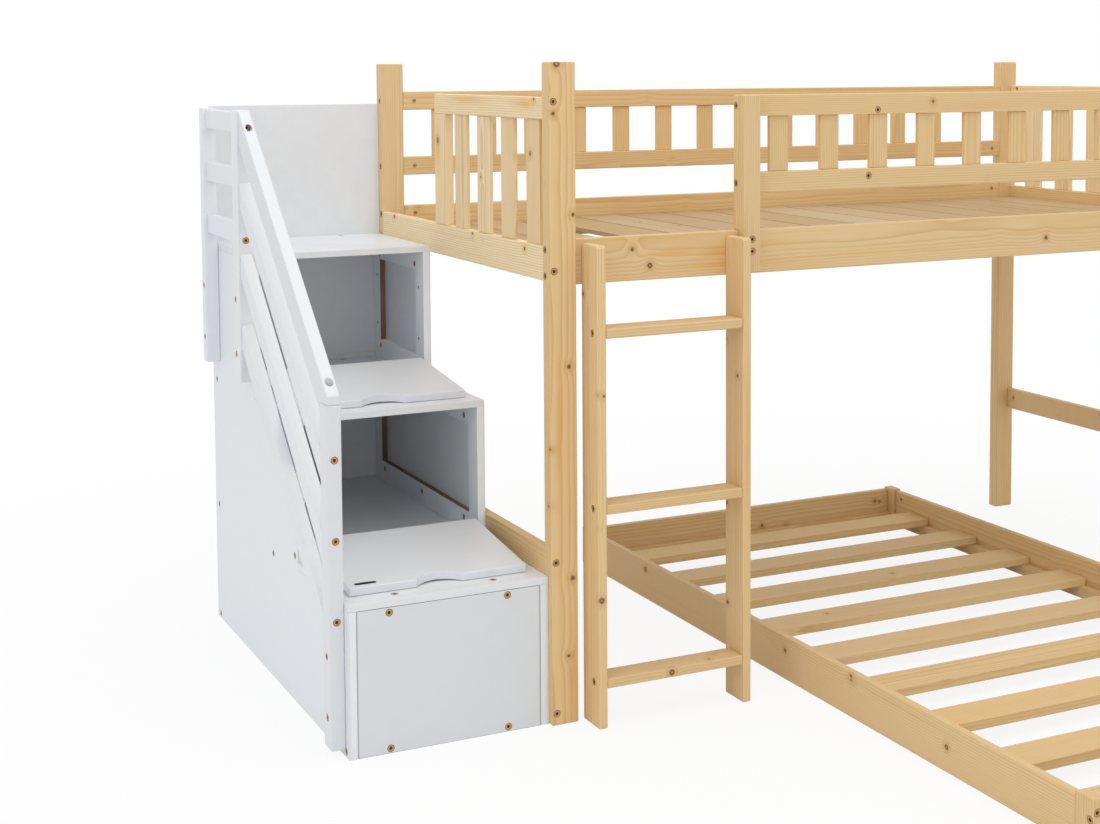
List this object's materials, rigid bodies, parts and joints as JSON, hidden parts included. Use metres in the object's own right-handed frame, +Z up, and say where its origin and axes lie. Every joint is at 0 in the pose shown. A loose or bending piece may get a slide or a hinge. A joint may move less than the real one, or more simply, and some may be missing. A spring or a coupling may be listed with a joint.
{
  "type": "bunk bed",
  "caption": "Pine loft bed with slatted guards, a short ladder and a white storage staircase with lift-up step lids, over a low slatted floor bed set crosswise.",
  "frame": {"origin": "middle of the whole footprint, on the floor", "axes": "+X along the loft bed away from the staircase, +Y from the ladder side to the wall side, +Z up"},
  "size_m": [2.491, 2.028, 1.366],
  "materials": {
    "pine": "clear satin lacquer over knotty pine",
    "white_paint": "white satin paint on board",
    "hinge_steel": "bright zinc",
    "bolt_zinc": "yellow zinc passivate"
  },
  "bodies": {
    "frame": {"post_front_left": "pine", "post_back_left": "pine", "post_front_right": "pine", "post_back_right": "pine", "side_rail_front": "pine", "side_rail_back": "pine", "end_rail_left": "pine", "end_rail_right": "pine", "stretcher_left": "pine", "stretcher_right": "pine", "deck_ledgers": "pine", "deck_slats": "pine", "guard_rails_back": "pine", "guard_balusters_back": "pine", "entry_stile": "pine", "guard_rails_front": "pine", "guard_balusters_front": "pine", "end_guard_rails": "pine", "end_stile": "pine", "end_balusters": "pine", "ladder_stile_left": "pine", "ladder_stile_right": "pine", "ladder_treads": "pine", "low_side_rail_left": "pine", "low_side_rail_right": "pine", "low_end_rails": "pine", "low_posts": "pine", "low_ledgers": "pine", "low_slats": "pine", "stair_skin_left": "white_paint", "stair_skin_right": "white_paint", "stair_frame_left": "white_paint", "stair_frame_right": "white_paint", "stair_front": "white_paint", "stair_bottom": "white_paint", "step_board_low": "white_paint", "step_board_high": "white_paint", "landing_board": "white_paint", "stair_back": "white_paint", "stair_cleats": "white_paint", "lid_battens": "white_paint", "newel": "white_paint", "landing_stile_front": "white_paint", "landing_stile_back": "white_paint", "landing_rails": "white_paint", "handrail": "white_paint", "railing_slats": "white_paint", "hinges_fixed": "hinge_steel", "hinge_pins": "hinge_steel", "bed_bolts": "bolt_zinc", "barrel_nuts": "bolt_zinc", "ladder_bolts": "bolt_zinc", "stair_bolts": "bolt_zinc", "stair_screws": "bolt_zinc"},
    "lid_low_body": {"lid_low": "white_paint", "hinges_low": "hinge_steel"},
    "lid_high_body": {"lid_high": "white_paint", "hinges_high": "hinge_steel"}
  },
  "joints": [
    {"name": "lid_low_hinge", "type": "hinge", "parent": "frame", "child": "lid_low_body", "pos_m": [-0.9975, 0.3065, 0.338], "axis": [-1, 0, 0], "range_deg": [0, 90]},
    {"name": "lid_high_hinge", "type": "hinge", "parent": "frame", "child": "lid_high_body", "pos_m": [-0.9975, 0.6375, 0.6485], "axis": [-1, 0, 0], "range_deg": [0, 90]}
  ]
}
